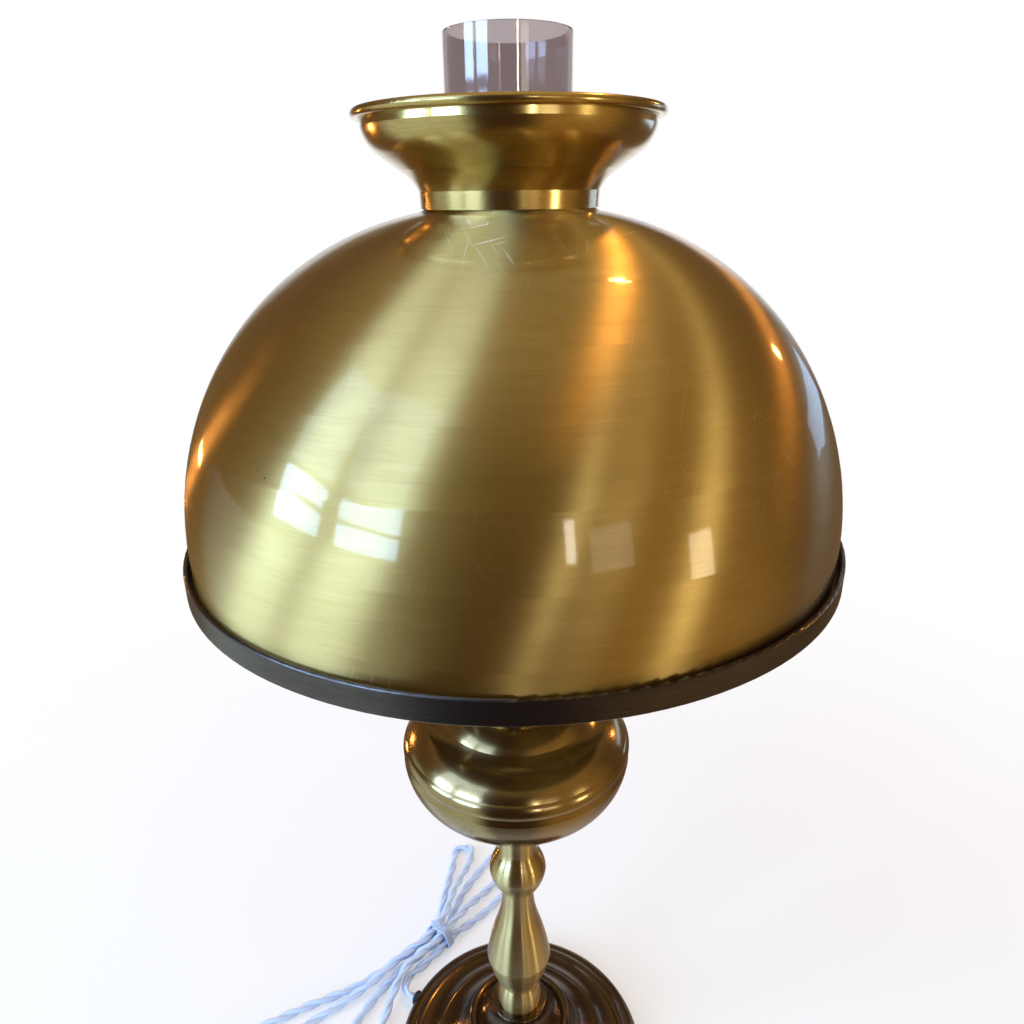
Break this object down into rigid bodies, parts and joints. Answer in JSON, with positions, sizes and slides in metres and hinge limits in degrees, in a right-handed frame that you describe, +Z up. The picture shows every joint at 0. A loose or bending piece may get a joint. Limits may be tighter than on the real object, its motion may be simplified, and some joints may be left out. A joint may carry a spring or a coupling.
{
  "type": "table lamp",
  "caption": "Student-style brass table lamp: domed shade with flared crown on a channel ring, glass chimney, urn font, turned stem, round weighted base and a tied textile flex.",
  "frame": {"origin": "centre of the base where it stands", "axes": "+Z up along the stem; +X to the right of the pictured front, which faces -Y; the flex leaves towards -X and +Y"},
  "size_m": [0.3579, 0.4274, 0.5206],
  "materials": {
    "base_bronze": "dark bronze patina under lacquer, semi-gloss",
    "base_iron": "rough casting",
    "base_felt": "pressed felt",
    "bush_rubber": "matt moulded rubber",
    "thread_steel": "zinc plated",
    "stem_brass": "turned and polished, lightly tarnished",
    "font_brass": "bronzed brass, glossy lacquer",
    "burner_brass": "spun brass, lacquered",
    "switch_plastic": "moulded plastic",
    "knob_brass": "fluted brass, polished",
    "arm_brass": "drawn brass rod, lacquered",
    "ring_bronze": "blackened bronze, satin",
    "shade_brass": "spun brass with fine brushed rings, lacquered, scratched and spotted",
    "crown_brass": "spun brass with brushed rings, lacquered",
    "chimney_glass": "clear blown glass",
    "holder_ceramic": "unglazed porcelain",
    "contact_brass": "pressed brass sheet",
    "bulb_metal": "pressed aluminium cap",
    "bulb_glass": "clear glass",
    "bulb_wire": "drawn wire on a glass mount",
    "flex_textile": "two twisted cores in white woven textile",
    "tie_textile": "flat white tape, knotted",
    "plug_plastic": "moulded plastic",
    "pin_metal": "nickel plated brass"
  },
  "bodies": {
    "lamp": {"base_shell": "base_bronze", "base_weight": "base_iron", "base_felt": "base_felt", "cord_bush": "bush_rubber", "threaded_pipe": "thread_steel", "pipe_nuts": "thread_steel", "pipe_washers": "thread_steel", "stem_foot": "stem_brass", "stem_vase": "stem_brass", "stem_knop": "stem_brass", "font_neck": "stem_brass", "font_lower": "font_brass", "font_upper": "font_brass", "font_collar": "font_brass", "burner_body": "burner_brass", "burner_deck": "burner_brass", "chimney_gallery": "burner_brass", "switch_body": "switch_plastic", "shade_hub": "burner_brass", "hub_screws": "thread_steel", "shade_arms": "arm_brass", "shade_ring": "ring_bronze", "holder_shell": "burner_brass", "holder_core": "holder_ceramic", "holder_sleeve": "contact_brass", "holder_contact": "contact_brass", "lead_inside": "flex_textile", "cord_lead": "flex_textile", "cord_hank": "flex_textile", "cord_tail": "flex_textile", "cord_tie": "tie_textile", "plug_relief": "plug_plastic", "plug_body": "plug_plastic", "plug_pins": "pin_metal"},
    "shade": {"shade_dome": "shade_brass", "shade_crown": "crown_brass"},
    "chimney": {"chimney": "chimney_glass"},
    "bulb": {"bulb_cap": "bulb_metal", "bulb_glass": "bulb_glass", "bulb_filament": "bulb_wire"},
    "knob": {"knob_shaft": "knob_brass", "switch_knob": "knob_brass"}
  },
  "joints": [
    {"name": "shade_lift", "type": "slide", "parent": "lamp", "child": "shade", "axis": [0, 0, 1], "range_m": [0, 0.205]},
    {"name": "chimney_lift", "type": "slide", "parent": "lamp", "child": "chimney", "axis": [0, 0, 1], "range_m": [0, 0.21]},
    {"name": "bulb_turn", "type": "hinge", "parent": "lamp", "child": "bulb", "pos_m": [0, 0, 0.31], "axis": [0, 0, 1], "range_deg": [0, 1800]},
    {"name": "knob_turn", "type": "hinge", "parent": "lamp", "child": "knob", "pos_m": [0.034, 0, 0.2646], "axis": [1, 0, 0], "continuous": true}
  ]
}
